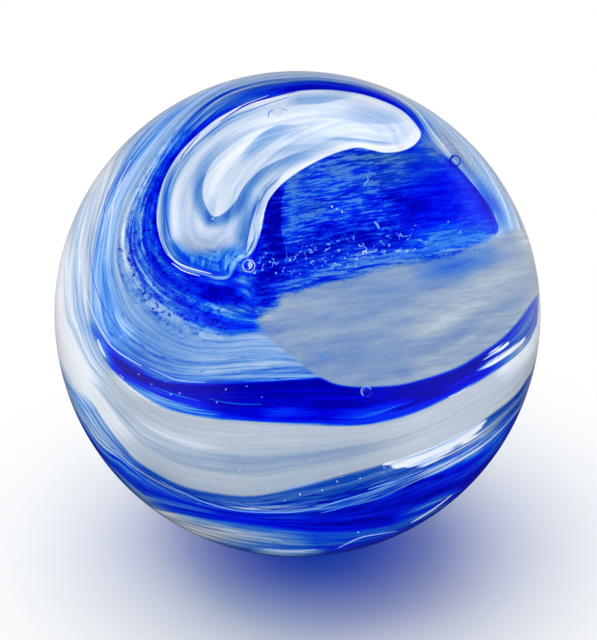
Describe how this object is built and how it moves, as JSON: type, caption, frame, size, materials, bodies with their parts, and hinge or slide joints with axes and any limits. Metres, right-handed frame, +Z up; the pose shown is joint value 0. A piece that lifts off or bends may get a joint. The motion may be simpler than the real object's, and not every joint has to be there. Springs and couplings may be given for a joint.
{
  "type": "glass marble",
  "caption": "Solid round glass ball with white and cobalt blue glass swirled inside a thin clear skin, for play, display or as a loose rolling weight.",
  "frame": {"origin": "centre of the ball", "axes": "+Z up as the ball lies in the picture, -Y towards the viewer; a plain ball is the same along every axis"},
  "size_m": [0.05, 0.05, 0.05],
  "materials": {
    "swirl_glass": "gloss, cobalt blue and opaque white glass streaked together",
    "clear_glass": "fire-polished clear glass with small air bubbles"
  },
  "bodies": {
    "root": {"marble": "swirl_glass"}
  },
  "joints": []
}
